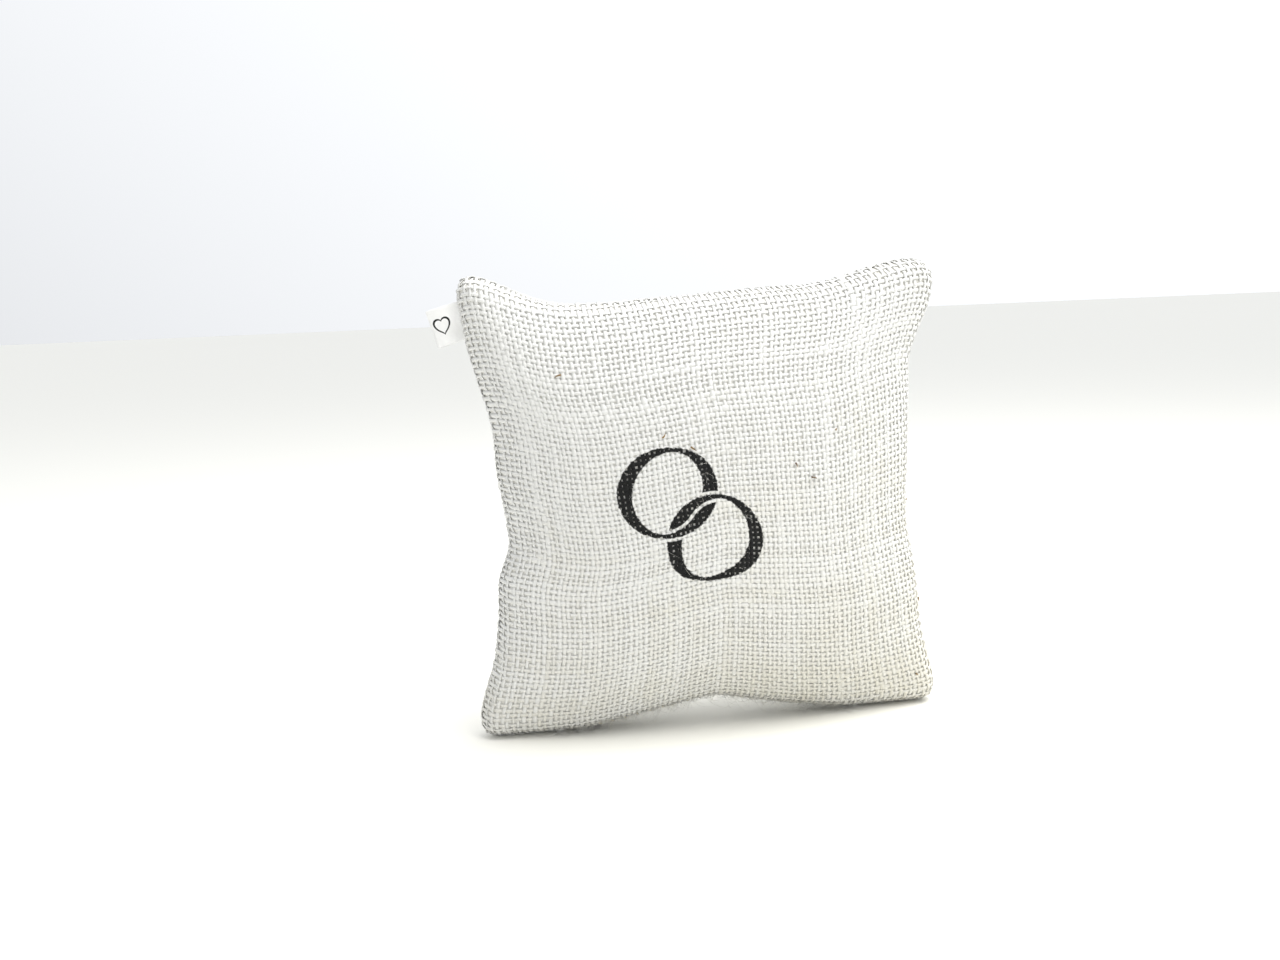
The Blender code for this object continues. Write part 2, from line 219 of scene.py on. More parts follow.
def wander(random, rows, columns, step):
    """Smooth noise of about -1 to 1 along each row: random values every step columns, joined by S curves."""
    knots = random.uniform(-1, 1, (rows, columns // step + 2))
    place = np.arange(columns) / step
    k = place.astype(int)
    share = smooth_step(place - k)
    return knots[:, k] * (1 - share) + knots[:, k + 1] * share


def mesh_points(mesh):
    """The points of a mesh."""
    points = np.empty(len(mesh.vertices) * 3)
    mesh.vertices.foreach_get("co", points)
    return points.reshape(-1, 3)


def new_piece(name, points, faces, material, body="pillow"):
    """A mesh object from an array of points and a list of faces, that rides on a body."""
    mesh = bpy.data.meshes.new(name)
    mesh.from_pydata(points.tolist(), [], faces)
    mesh.materials.append(material)
    mesh.shade_smooth()
    piece = bpy.data.objects.new(name, mesh)
    bpy.context.scene.collection.objects.link(piece)
    if body:
        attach(piece, body)
    return piece


def set_vectors(piece, name, values):
    """Stores one vector for each point as a named attribute."""
    attribute = piece.data.attributes.new(name, "FLOAT_VECTOR", "POINT")
    attribute.data.foreach_set("vector", np.asarray(values, np.float32).ravel())


def set_corner_map(piece, name, values):
    """Stores a UV map whose value at each face corner is that of its point."""
    corners = np.empty(len(piece.data.loops), np.int32)
    piece.data.loops.foreach_get("vertex_index", corners)
    layer = piece.data.uv_layers.new(name=name)
    layer.uv.foreach_set("vector", np.asarray(values, np.float32)[corners].ravel())


def tube_faces(keep, around):
    """The faces of a set of tubes, one to each row of keep, whose rings have around points: a quad between
    two kept rings that follow each other, and a flat cap on the first and the last kept ring of each row."""
    rows, rings = keep.shape
    first = (np.arange(rows)[:, None] * rings + np.arange(rings)[None, :]) * around
    both = keep[:, :-1] & keep[:, 1:]
    start, end = first[:, :-1][both], first[:, 1:][both]
    k = np.arange(around)
    following = (k + 1) % around
    quads = np.stack(
        [start[:, None] + k, start[:, None] + following, end[:, None] + following, end[:, None] + k], axis=-1
    ).reshape(-1, 4)
    begins = keep & ~np.pad(keep, ((0, 0), (1, 0)))[:, :-1]
    ends = keep & ~np.pad(keep, ((0, 0), (0, 1)))[:, 1:]
    caps = np.concatenate([first[begins][:, None] + k[::-1], first[ends][:, None] + k])
    return quads, caps


def new_tubes(name, rings, material, **more):
    """A piece made of whole tubes. rings is (tubes, rings of each, points round a ring, 3)."""
    quads, caps = tube_faces(np.ones(rings.shape[:2], bool), rings.shape[2])
    return new_piece(name, rings.reshape(-1, 3), quads.tolist() + caps.tolist(), material, **more)


def drop_unused(points, quads, caps, *values):
    """The points that a face uses, the faces as lists with their new numbers, and the values of those
    points."""
    used = np.zeros(len(points), bool)
    used[quads.ravel()] = True
    used[caps.ravel()] = True
    number = np.cumsum(used) - 1
    return points[used], number[quads].tolist() + number[caps].tolist(), *(value[used] for value in values)


def bag_faces(cells):
    """(edge points, numbers of the back's points, faces) of a bag that is sewn from two square grids of
    points. The back's edge is the front's, and its other points are numbered on from the front's."""
    number = np.arange((cells + 1) ** 2).reshape(cells + 1, -1)
    edge = np.ones(number.shape, bool)
    edge[1:-1, 1:-1] = False
    back = np.where(edge.ravel(), number.ravel(), number.size + np.cumsum(~edge) - 1)
    quads = np.stack(
        [number[:-1, :-1], number[1:, :-1], number[1:, 1:], number[:-1, 1:]], axis=-1
    ).reshape(-1, 4)
    return edge.ravel(), back, np.concatenate([quads, back[quads][:, ::-1]]).tolist()


def rings_round(path, normal, width, thickness, around, turn=0.0):
    """Elliptical rings round a path: centre + width/2 cos t side + thickness/2 sin t normal, where side is
    square to the path and to the normal. path is (rows, rings, 3), the result (rows, rings, around, 3)."""
    along = unit(np.gradient(path, axis=1))
    side = unit(np.cross(along, normal))
    upright = np.cross(side, along)
    t = 2 * np.pi * np.arange(around) / around + turn
    half_w, half_t = width[..., None, None] / 2, thickness[..., None, None] / 2
    return (
        path[:, :, None, :]
        + half_w * np.cos(t)[:, None] * side[:, :, None, :]
        + half_t * np.sin(t)[:, None] * upright[:, :, None, :]
    )


# ---------------------------------------------------------------- the cover's shape


def seam_centre():
    """The middle of the front panel, in X and Z."""
    low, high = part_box("front_panel")
    return np.array([(low[0] + high[0]) / 2, (low[2] + high[2]) / 2])


def seam_radius(angles):
    """How far the front panel's outline is from its middle at each angle: the furthest point where a line
    at that angle crosses an edge of the panel, seen from the front."""
    mesh = frame["nodes"]["front_panel"].data
    edges = np.empty(len(mesh.edges) * 2, np.int64)
    mesh.edges.foreach_get("vertices", edges)
    flat = mesh_points(mesh)[:, [0, 2]] - seam_centre()
    start, end = flat[edges.reshape(-1, 2)].transpose(1, 0, 2)
    furthest = []
    for angle in angles:
        out = np.array([math.cos(angle), math.sin(angle)])
        a, b = start @ (-out[1], out[0]), end @ (-out[1], out[0])
        crossed = (a * b <= 0) & (a != b)
        share = a[crossed] / (a[crossed] - b[crossed])
        reach = (start[crossed] + share[:, None] * (end - start)[crossed]) @ out
        furthest.append(reach.max())
    return np.array(furthest)


def seam_sides():
    """The seam as four rows of points (x, z) at equal steps, from left to right or from bottom to top. Each
    corner is the outline's furthest point from the middle near a diagonal."""
    angles = np.linspace(-np.pi, np.pi, SEAM_ANGLES, endpoint=False)
    reach = seam_radius(angles) - 0.9 * cloth().yarn_thickness
    smooth = sum(np.roll(reach, k) * w for k, w in zip(range(-3, 4), (1, 3, 5, 6, 5, 3, 1))) / 24
    outline = seam_centre() + smooth[:, None] * np.stack([np.cos(angles), np.sin(angles)], axis=1)
    corners = []
    for diagonal in (-0.75, -0.25, 0.25, 0.75):
        near = np.abs(angles / np.pi - diagonal) < 0.09
        corners.append(int(np.flatnonzero(near)[np.argmax(smooth[near])]))
    lower_left, lower_right, upper_right, upper_left = corners

    def side(first, last):
        """The outline from one corner round to the next, at equal steps."""
        last += SEAM_ANGLES if last < first else 0
        run = outline[np.arange(first, last + 1) % SEAM_ANGLES]
        travelled = np.concatenate([[0], np.cumsum(np.linalg.norm(np.diff(run, axis=0), axis=1))])
        at = np.linspace(0, travelled[-1], CELLS + 1)
        return np.stack([np.interp(at, travelled, run[:, k]) for k in (0, 1)], axis=1)

    return {
        "bottom": side(lower_left, lower_right),
        "right": side(lower_right, upper_right),
        "top": side(upper_right, upper_left)[::-1],
        "left": side(upper_left, lower_left)[::-1],
    }


def panel_axes():
    """The control grid's two parameters, each from -1 to 1 across a panel: u down the rows and v along
    them."""
    steps = np.linspace(-1, 1, CELLS + 1)
    return steps[:, None], steps[None, :]


def stuffed_start():
    """The cover before it is stuffed tight, as {side name: grid of points}. The seams are blended across (a
    Coons patch), and the height is that of the CAD cushion: ((1 - |u|^2.2)(1 - |v|^2.2))^0.55 over a rolled
    edge."""
    sides = seam_sides()
    u, v = panel_axes()
    a, b = ((1 + u) / 2)[..., None], ((1 + v) / 2)[..., None]
    bottom, top = sides["bottom"][:, None, :], sides["top"][:, None, :]
    left, right = sides["left"][None, :, :], sides["right"][None, :, :]
    corners = (1 - b) * ((1 - a) * bottom[:1] + a * bottom[-1:]) + b * ((1 - a) * top[:1] + a * top[-1:])
    flat = (1 - b) * bottom + b * top + (1 - a) * left + a * right - corners
    half = -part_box("front_panel")[0][1] - 0.5 * cloth().yarn_thickness
    bulge = half * ((1 - np.abs(u) ** 2.2) * (1 - np.abs(v) ** 2.2)) ** 0.55
    roll = 0.0068
    fold = roll * rounded_edge(u, v, roll / (cloth().panel / 2))
    height = (bulge**3 + fold**3) ** (1 / 3)
    x, z = flat[..., 0], flat[..., 1]
    return {name: np.stack([x, side * height, z], axis=-1) for name, side in SIDES.items()}


def stuffed_cover():
    """The cover once its cloth has found its own shape: two flat square panels, sewn together along the
    seam, are blown out by an even pressure, as stuffing does. The cloth stays within a few millimetres of
    the CAD cushion."""
    start = stuffed_start()
    edge, back_number, faces = bag_faces(CELLS)
    points = np.concatenate([start["front"].reshape(-1, 3), start["back"].reshape(-1, 3)[~edge]])
    bag = new_piece("stuffed_bag", points, faces, None, body=None)
    # At rest each panel is a flat square.
    rows, columns = np.indices((CELLS + 1, CELLS + 1)) / CELLS
    flat = (np.stack([rows, 0 * rows, columns], axis=-1).reshape(-1, 3) - 0.5) * cloth().panel
    bag.shape_key_add(name="sewn")
    key = bag.shape_key_add(name="cut")
    key.data.foreach_set("co", np.concatenate([flat, flat[~edge]]).ravel())
    key.value = 0.0
    seam = bag.vertex_groups.new(name="seam")
    seam.add(np.flatnonzero(edge).tolist(), 1.0, "REPLACE")
    modifier = bag.modifiers.new("stuffing", "CLOTH")
    modifier.point_cache.frame_start = 1
    modifier.point_cache.frame_end = 40
    settings = modifier.settings
    settings.rest_shape_key = key
    settings.vertex_group_mass = "seam"
    settings.quality = 6
    settings.mass = 0.25
    settings.tension_stiffness = settings.compression_stiffness = 28
    settings.shear_stiffness = 6
    settings.bending_stiffness = 1.6
    settings.tension_damping = settings.compression_damping = settings.shear_damping = 12
    settings.use_pressure = True
    settings.uniform_pressure_force = 4.0
    settings.effector_weights.gravity = 0.0
    modifier.collision_settings.use_collision = False
    scene = bpy.context.scene
    for step in range(1, 31):
        scene.frame_set(step)
    moved = mesh_points(bag.evaluated_get(bpy.context.evaluated_depsgraph_get()).data) - points
    scene.frame_set(1)
    if not np.isfinite(moved).all():
        raise RuntimeError("the stuffing did not settle")
    far = np.linalg.norm(moved, axis=1, keepdims=True)
    most = 0.006
    moved *= most * np.tanh(far / most) / np.maximum(far, 1e-9)
    shaped = points + moved
    bpy.data.meshes.remove(bag.data)
    grid = (CELLS + 1, CELLS + 1, 3)
    return {"front": shaped[: edge.size].reshape(grid), "back": shaped[back_number].reshape(grid)}


def cover_normals(grids):
    """Outward normals of the control grids: dP/du x dP/dv, turned outwards. On the seam, where the two
    panels meet, they are the mean of both."""
    normals = {}
    for name, side in SIDES.items():
        du, dv = np.gradient(grids[name], axis=0), np.gradient(grids[name], axis=1)
        normals[name] = unit(-side * np.cross(du, dv))
    mean = unit(normals["front"] + normals["back"])
    edge = np.zeros(mean.shape[:2], bool)
    edge[[0, -1], :] = edge[:, [0, -1]] = True
    for name in SIDES:
        normals[name][edge] = mean[edge]
    return normals


def spline(grid, a, b):
    """A grid of control points read at places a, b, from 0 to CELLS: a uniform cubic B-spline, carried on
    in a straight line past the edges, so that it meets them."""
    padded = np.pad(grid, ((1, 1), (1, 1), (0, 0)), mode="reflect", reflect_type="odd")

    def weights(x):
        """The first of the four control points at each place, and the four weights."""
        k = np.clip(x.astype(int), 0, CELLS - 1)
        t = x - k
        second, third = 3 * t**3 - 6 * t**2 + 4, -3 * t**3 + 3 * t**2 + 3 * t + 1
        return k, np.stack([(1 - t) ** 3, second, third, t**3]) / 6

    i, wi = weights(a)
    j, wj = weights(b)
    return sum(
        (wi[m] * wj[n])[..., None] * padded[i + m, j + n] for m in range(4) for n in range(4)
    )


COVER = {}


def shape_cover():
    """Works out the cover's shape once, and keeps it for the pieces that lie on it."""
    grids = stuffed_cover()
    COVER["points"], COVER["normals"] = grids, cover_normals(grids)


def on_cover(name, x, z):
    """(points, outward normals) of a panel's middle surface at places x, z of the flat panel. Past the
    panel's edge the cloth has turned in: it goes back towards the pillow's middle, facing the other panel."""
    side, half = SIDES[name], cloth().panel / 2
    in_x, in_z = np.clip(x, -half, half), np.clip(z, -half, half)
    a, b = (in_x / half + 1) / 2 * CELLS, (in_z / half + 1) / 2 * CELLS
    points, normals = spline(COVER["points"][name], a, b), unit(spline(COVER["normals"][name], a, b))
    past = np.hypot(x - in_x, z - in_z)[..., None]
    turned = smooth_step(past / 0.0012)
    middle = seam_centre()
    inward = unit(np.array([middle[0], 0, middle[1]]) - points * [1, 0, 1])
    # The two panels lie side by side at the seam, half a yarn off the seam's plane.
    points = points + inward * past + np.array([0, side * 0.9 * cloth().yarn_thickness, 0])
    return points, unit(normals * (1 - turned) + np.array([0.0, -side, 0.0]) * turned)


# ---------------------------------------------------------------- the weave


def yarn_places(random, pitch, reach):
    """Places of the yarns across the cloth, a pitch apart with small uneven gaps, out to reach on both
    sides."""
    count = int(reach / pitch) + 1
    even = np.arange(-count, count + 1) * pitch
    slips = random.normal(0, 0.055 * pitch, len(even))
    return even + slips + pitch * 0.1 * np.sin(even / 0.031 + random.uniform(0, 6))


def woven_yarns(name, along_z, warp_at, weft_at, seed):
    """One panel's warp (along_z) or weft as tubes. A yarn runs over one crossing and under the next, so it
    has two rings at each crossing, a quarter pitch to each side of it, at +height or -height by turns."""
    random = np.random.default_rng(seed)
    made = cloth()
    own, crossed = (warp_at, weft_at) if along_z else (weft_at, warp_at)
    pitch = made.weft_pitch if along_z else made.warp_pitch
    rings = np.sort(np.concatenate([crossed - pitch / 4, crossed + pitch / 4]))
    number = np.repeat(np.arange(len(crossed)), 2)
    rows, columns = len(own), len(rings)
    over = np.where((np.arange(rows)[:, None] + number[None, :]) % 2 == 0, 1.0, -1.0)
    if not along_z:
        over = -over
    # Spun jute is uneven: each yarn has its own weight, and thick and thin places along it.
    weight = np.exp(random.normal(0, 0.13, rows))[:, None]
    slub = 1 + 0.13 * wander(random, rows, columns, 9) + 0.07 * wander(random, rows, columns, 3)
    slub = slub + 0.45 * (wander(random, rows, columns, 14) > 0.9)
    width = made.yarn_width * weight * slub
    thickness = made.yarn_thickness * (0.75 + 0.25 * weight * slub)
    drift = 0.11 * pitch * wander(random, rows, columns, 11) + 0.05 * pitch * wander(random, rows, columns, 4)
    across, along = own[:, None] + drift, np.broadcast_to(rings, (rows, columns))
    p, q = (across, along) if along_z else (along, across)
    turn_c, turn_s = math.cos(made.grain), math.sin(made.grain)
    x, z = p * turn_c - q * turn_s, p * turn_s + q * turn_c
    half = made.panel / 2
    past_x, past_z = np.abs(x) - half, np.abs(z) - half
    past_end, past_side = (past_z, past_x) if along_z else (past_x, past_z)
    keep = (past_end < made.turned_in) & (past_side < 0.6 * made.turned_in)
    keep &= (past_x < 0.0004) | (past_z < 0.0004)
    keep &= np.maximum(past_x, 0) + np.maximum(past_z, 0) < made.turned_in
    keep &= keep.sum(axis=1, keepdims=True) > 2
    centre, normal = on_cover(name, x, z)
    height = 0.5 * made.yarn_thickness * over + 0.06 * made.yarn_thickness * wander(random, rows, columns, 2)
    path = centre + normal * height[..., None]
    around = 6
    body = rings_round(path, normal, width, thickness, around, turn=np.pi / 6)
    # The yarns under the standing corners are pressed flat against the surface.
    low = 0.00005
    body[..., 2] = np.where(body[..., 2] < low, low + 0.02 * np.abs(body[..., 2]), body[..., 2])
    # Where each point lies on the flat panel and how high in the weave, for the print.
    angle = 2 * np.pi * np.arange(around) / around + np.pi / 6
    rise = (np.sin(angle) + over[..., None]) / 2
    aside = width[..., None] / 2 * np.cos(angle) * SIDES[name]
    side_x, side_z = (-turn_c, -turn_s) if along_z else (-turn_s, turn_c)
    place = np.stack([x[..., None] + aside * side_x, z[..., None] + aside * side_z, rise], axis=-1)
    # Where it lies along the yarn and round it, and the yarn's own tone, for the fibres.
    tone, round_share = random.uniform(0, 1, rows)[:, None, None], np.arange(around) / around
    fibre = np.stack(np.broadcast_arrays(along[..., None], round_share, tone, rise)[:3], axis=-1)
    # One level strip of the map for each yarn.
    level = (np.arange(rows)[:, None, None] + 0.04 + 0.92 * np.abs(2 * round_share - 1)) / rows
    run = ((along - rings[0]) / (rings[-1] - rings[0]))[..., None]
    strip = np.stack(np.broadcast_arrays(run, level), axis=-1)
    quads, caps = tube_faces(keep, around)
    points, faces, place, fibre, strip = drop_unused(
        body.reshape(-1, 3), quads, caps, place.reshape(-1, 3), fibre.reshape(-1, 3), strip.reshape(-1, 2)
    )
    kind = "warp" if along_z else "weft"
    piece = new_piece(f"{name}_{kind}", points, faces, bleached_jute(printed=name == "front"))
    set_vectors(piece, "place", place)
    set_vectors(piece, "fibre", fibre)
    set_corner_map(piece, "OFBake", strip)
    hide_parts(f"{name}_panel")


# ---------------------------------------------------------------- materials


def add_node(tree, kind, *values, into=(), out=0, **settings):
    """Adds a shader node with its settings, and gives one of its outputs. The values go to its inputs in
    order, and those of into by number or name: each is a constant, or another node's output to link from."""
    made = tree.nodes.new("ShaderNode" + kind)
    for name, value in settings.items():
        setattr(made, name, value)
    for key, value in [*enumerate(values), *dict(into).items()]:
        if isinstance(value, bpy.types.NodeSocket):
            tree.links.new(value, made.inputs[key])
        else:
            made.inputs[key].default_value = value
    return made.outputs[out]


def new_material(name, roughness, sheen=0.0):
    """A new material, its tree and its shader: cloth and thread, which reflect little."""
    material = bpy.data.materials.new(name)
    material.use_nodes = True
    shader = material.node_tree.nodes["Principled BSDF"]
    shader.inputs["Roughness"].default_value = roughness
    shader.inputs["Sheen Weight"].default_value = sheen
    shader.inputs["Specular IOR Level"].default_value = 0.25
    return material, material.node_tree, shader


def between(tree, share, first, second):
    """A colour between first and second by share. Each of them is a hex string or an output."""
    first, second = (c if isinstance(c, bpy.types.NodeSocket) else linear(c) for c in (first, second))
    return add_node(tree, "Mix", into={0: share, 6: first, 7: second}, out=2, data_type="RGBA")


def finish_surface(tree, shader, share, first, second, height, strength, distance):
    """Gives the shader a colour between first and second by share, and bumps of this height, in metres."""
    base = between(tree, share, first, second)
    bump = add_node(tree, "Bump", into={"Height": height, "Strength": strength, "Distance": distance})
    tree.links.new(base, shader.inputs["Base Color"])
    tree.links.new(bump, shader.inputs["Normal"])


def stroke(tree, place, centre, angle):
    """(distance from a ring's stroke, half the stroke's width) at a place. The stroke is thick to the two
    sides of the ring that lie square to angle, as a broad pen makes it: thin + (thick - thin) |cos|^1.5."""
    ring = motif()
    offset = add_node(tree, "VectorMath", place, (*centre, 0.0), operation="SUBTRACT")
    far = add_node(tree, "VectorMath", offset, out="Value", operation="LENGTH")
    outward = add_node(tree, "VectorMath", offset, operation="NORMALIZE")
    pen = (math.cos(angle), math.sin(angle), 0.0)
    lean = add_node(tree, "VectorMath", outward, pen, out="Value", operation="DOT_PRODUCT")
    lean = add_node(tree, "Math", add_node(tree, "Math", lean, operation="ABSOLUTE"), 1.5, operation="POWER")
    half = add_node(tree, "Math", lean, ring.thick - ring.thin, ring.thin, operation="MULTIPLY_ADD")
    off = add_node(tree, "Math", far, ring.ring, operation="SUBTRACT")
    return add_node(tree, "Math", off, operation="ABSOLUTE"), half


def linked_rings(tree, place, rough_edge):
    """1 inside the printed motif: two rings, each over the other at one of their two crossings, where a
    narrow gap is left in the one below. rough_edge moves the outline in and out."""
    ring = motif()
    step = Vector((-math.sin(ring.slant), math.cos(ring.slant)))
    middle = Vector((ring.centre_x, ring.centre_z))
    upper, lower = middle + step * ring.apart, middle - step * ring.apart
    reach = math.sqrt(ring.ring**2 - ring.apart**2)
    square = Vector((step.y, -step.x))
    marks = []
    strokes = [stroke(tree, place, c, math.radians(-14)) for c in (upper, lower)]
    for own, other, sign in ((0, 1, 1), (1, 0, -1)):
        distance, half = strokes[own]
        outside = add_node(tree, "Math", distance, half, operation="SUBTRACT")
        outside = add_node(tree, "Math", outside, rough_edge, operation="SUBTRACT")
        mark = add_node(tree, "MapRange", outside, 0.0002, -0.0002)
        crossing = middle + square * reach * sign
        near = add_node(tree, "VectorMath", place, (*crossing, 0.0), out="Value", operation="DISTANCE")
        near = add_node(tree, "MapRange", near, 0.0105, 0.0095)
        gap = add_node(tree, "Math", *strokes[other], operation="SUBTRACT")
        gap = add_node(tree, "MapRange", gap, 0.0016, 0.0012)
        under = add_node(tree, "Math", near, gap, operation="MULTIPLY")
        over = add_node(tree, "Math", 1.0, under, operation="SUBTRACT")
        marks.append(add_node(tree, "Math", mark, over, operation="MULTIPLY"))
    return add_node(tree, "Math", *marks, operation="MAXIMUM")


def bleached_jute(printed):
    """Jute spun loosely into coarse yarn, bleached and plain-woven: matt, faintly streaked along its
    fibres, never the same from yarn to yarn, and hairy. The ink lies on the tops of the yarns and misses
    the dips between them."""
    name = "bleached_jute_printed" if printed else "bleached_jute"
    if name in bpy.data.materials:
        return bpy.data.materials[name]
    material, tree, shader = new_material(name, 0.88, sheen=0.15)
    fibre = add_node(tree, "Attribute", out="Vector", attribute_name="fibre")
    along, around, tone = add_node(tree, "SeparateXYZ", fibre).node.outputs
    spot = add_node(tree, "TexCoord", out="Object")
    # Fibres lie at a steep twist: a turn of the yarn takes about 4 mm, and a fibre bundle is about 0.25 mm
    # wide.
    twist = add_node(tree, "Math", along, 1 / 0.004, around, operation="MULTIPLY_ADD")
    bundle = add_node(tree, "CombineXYZ", add_node(tree, "Math", twist, 14.0, operation="MULTIPLY"), tone)
    streaks = add_node(
        tree, "TexNoise", into={"Vector": bundle, "Scale": 1.0, "Detail": 2.0, "Roughness": 0.6}
    )
    patches = add_node(tree, "TexNoise", into={"Vector": spot, "Scale": 34.0, "Detail": 2.0})
    specks = add_node(tree, "TexNoise", into={"Vector": spot, "Scale": 900.0, "Detail": 3.0})
    # How deep the colour is: by yarn, by fibre and by patch, as the jute's own tone, and painted shade that
    # makes the cloth darker and creamier towards the panel's lower right.
    place = add_node(tree, "Attribute", out="Vector", attribute_name="place")
    x, z, rise = add_node(tree, "SeparateXYZ", place).node.outputs
    depth = add_node(tree, "Math", tone, 0.30, -0.62, operation="MULTIPLY_ADD")
    for part, weight in ((streaks, 0.5), (patches, 0.7), (z, -3.2), (x, 1.6)):
        depth = add_node(tree, "Math", part, weight, depth, operation="MULTIPLY_ADD")
    share = add_node(tree, "MapRange", depth, 0.0, 0.9, interpolation_type="SMOOTHSTEP")
    plain = between(tree, share, cloth().jute, cloth().jute_deep_and_shade)
    ink = 0.0
    if printed:
        flat = add_node(tree, "CombineXYZ", x, z)
        ragged = add_node(tree, "TexNoise", into={"Vector": flat, "Scale": 700.0, "Detail": 1.0})
        rough_edge = add_node(tree, "Math", ragged, 0.0011, -0.00055, operation="MULTIPLY_ADD")
        worn = add_node(tree, "TexNoise", into={"Vector": flat, "Scale": 420.0, "Detail": 2.0})
        wet = add_node(tree, "Math", worn, 0.9, rise, operation="MULTIPLY_ADD")
        wet = add_node(tree, "MapRange", wet, 0.02, 0.16, interpolation_type="SMOOTHSTEP")
        ink = add_node(tree, "Math", linked_rings(tree, flat, rough_edge), wet, operation="MULTIPLY")
    relief = add_node(tree, "Math", specks, 0.5, streaks, operation="MULTIPLY_ADD")
    finish_surface(tree, shader, ink, plain, motif().ink, relief, 0.45, 0.0002)
    return material


def loose_jute():
    """Single jute fibres: pale and a little glossy, paler where they thin out."""
    material, tree, shader = new_material("loose_jute_fibre", 0.6)
    spot = add_node(tree, "TexCoord", out="Object")
    patches = add_node(tree, "TexNoise", into={"Vector": spot, "Scale": 120.0})
    share = add_node(tree, "MapRange", patches, 0.35, 0.7)
    finish_surface(tree, shader, share, cloth().jute, cloth().jute_deep_and_shade, patches, 0.1, 0.0001)
    return material


def jute_bark():
    """Slivers of jute bark that the carding left in: brown and dry, grained along their length."""
    material, tree, shader = new_material("jute_bark", 0.8)
    spot = add_node(tree, "TexCoord", out="Object")
    grain = add_node(tree, "TexNoise", into={"Vector": spot, "Scale": 400.0})
    share = add_node(tree, "MapRange", grain, 0.3, 0.7)
    finish_surface(tree, shader, share, cloth().fleck, cloth().fleck_pale, grain, 0.3, 0.0001)
    return material


def plain_calico():
    """Unbleached calico, plain-woven from fine cotton: matt, with a thread every 0.5 mm each way.
    Its colour is painted light: lifted near white for the light that the jute lets into the gaps.
    """
    material, tree, shader = new_material("woven_calico", 0.92)
    place = add_node(tree, "Attribute", out="Vector", attribute_name="place")
    turns = add_node(tree, "VectorMath", place, into={"Scale": 2 * math.pi / 0.0005}, operation="SCALE")
    waves = add_node(tree, "VectorMath", turns, operation="SINE")
    over, under, _ = add_node(tree, "SeparateXYZ", waves).node.outputs
    weave = add_node(tree, "Math", over, under, operation="MULTIPLY")
    patches = add_node(tree, "TexNoise", into={"Vector": place, "Scale": 60.0, "Detail": 3.0})
    share = add_node(tree, "MapRange", patches, 0.3, 0.7)
    finish_surface(tree, shader, share, cloth().calico, cloth().calico_deep, weave, 0.4, 0.0001)
    return material


def polyester_fibre():
    """Carded polyester fibre: bright white, cloudy, with no clear surface."""
    material, tree, shader = new_material("carded_polyester", 0.95, sheen=0.3)
    spot = add_node(tree, "TexCoord", out="Object")
    clouds = add_node(tree, "TexNoise", into={"Vector": spot, "Scale": 160.0, "Detail": 5.0})
    share = add_node(tree, "MapRange", clouds, 0.3, 0.7)
    finish_surface(tree, shader, share, "#F4F5F5", "#E2E4E6", clouds, 0.7, 0.001)
    return material


def spun_thread():
    """Mercerised cotton thread: a slight gloss, with the lay of its plies every 0.9 mm, and painted shade
    between the plies in bands along that lay.
    """
    if "spun_cotton_thread" in bpy.data.materials:
        return bpy.data.materials["spun_cotton_thread"]
    material, tree, shader = new_material("spun_cotton_thread", 0.6, sheen=0.2)
    spot = add_node(tree, "TexCoord", out="Object")
    # A wave texture has 20 / 2 pi bands to the metre at a scale of 1.
    bands = {"Vector": spot, "Scale": 2 * math.pi / 20 / 0.0009, "Distortion": 1.5}
    lay = add_node(tree, "TexWave", into=bands, out="Fac", bands_direction="DIAGONAL")
    finish_surface(tree, shader, lay, trim().thread, trim().thread_ply_shade, lay, 0.4, 0.0001)
    return material


def twill_tape():
    """White cotton tape, woven in a fine twill: soft, with slanting ribs 0.35 mm apart. Its mark is a small
    heart in outline, where x² + (1.15 z - 0.75 √|x|)² = 1."""
    material, tree, shader = new_material("printed_twill_tape", 0.8, sheen=0.1)
    place = add_node(tree, "Attribute", out="Vector", attribute_name="place")
    size = trim().heart
    # The heart's own axes: its middle is 5.2 mm out from the flex line.
    heart_place = add_node(
        tree, "VectorMath", place, (1 / size, 1 / size, 0.0), (-0.0052 / size, 0.0006 / size, 0.0),
        operation="MULTIPLY_ADD",
    )
    across, up, _ = add_node(tree, "SeparateXYZ", heart_place).node.outputs
    notch = add_node(tree, "Math", across, operation="ABSOLUTE")
    notch = add_node(tree, "Math", notch, operation="SQRT")
    notch = add_node(tree, "Math", notch, 0.75, operation="MULTIPLY")
    up = add_node(tree, "Math", up, 1.15, operation="MULTIPLY")
    lobe = add_node(tree, "Math", up, notch, operation="SUBTRACT")
    lobe = add_node(tree, "CombineXYZ", across, lobe)
    far = add_node(tree, "VectorMath", lobe, out="Value", operation="LENGTH")
    off = add_node(tree, "Math", far, 1.0, operation="SUBTRACT")
    off = add_node(tree, "Math", off, operation="ABSOLUTE")
    line = add_node(tree, "MapRange", off, 0.15, 0.09)
    x, z, outer = add_node(tree, "SeparateXYZ", place).node.outputs
    ink = add_node(tree, "Math", line, outer, operation="MULTIPLY")
    slant = add_node(tree, "Math", x, z, operation="ADD")
    slant = add_node(tree, "Math", slant, 2 * math.pi / 0.00035, operation="MULTIPLY")
    ribs = add_node(tree, "Math", slant, operation="SINE")
    soil = add_node(tree, "TexNoise", into={"Vector": place, "Scale": 150.0, "Detail": 3.0})
    share = add_node(tree, "MapRange", soil, 0.4, 0.8)
    plain = between(tree, share, trim().tape, trim().tape_deep)
    finish_surface(tree, shader, ink, plain, motif().ink, ribs, 0.3, 0.00008)
    return material


# ---------------------------------------------------------------- the other pieces


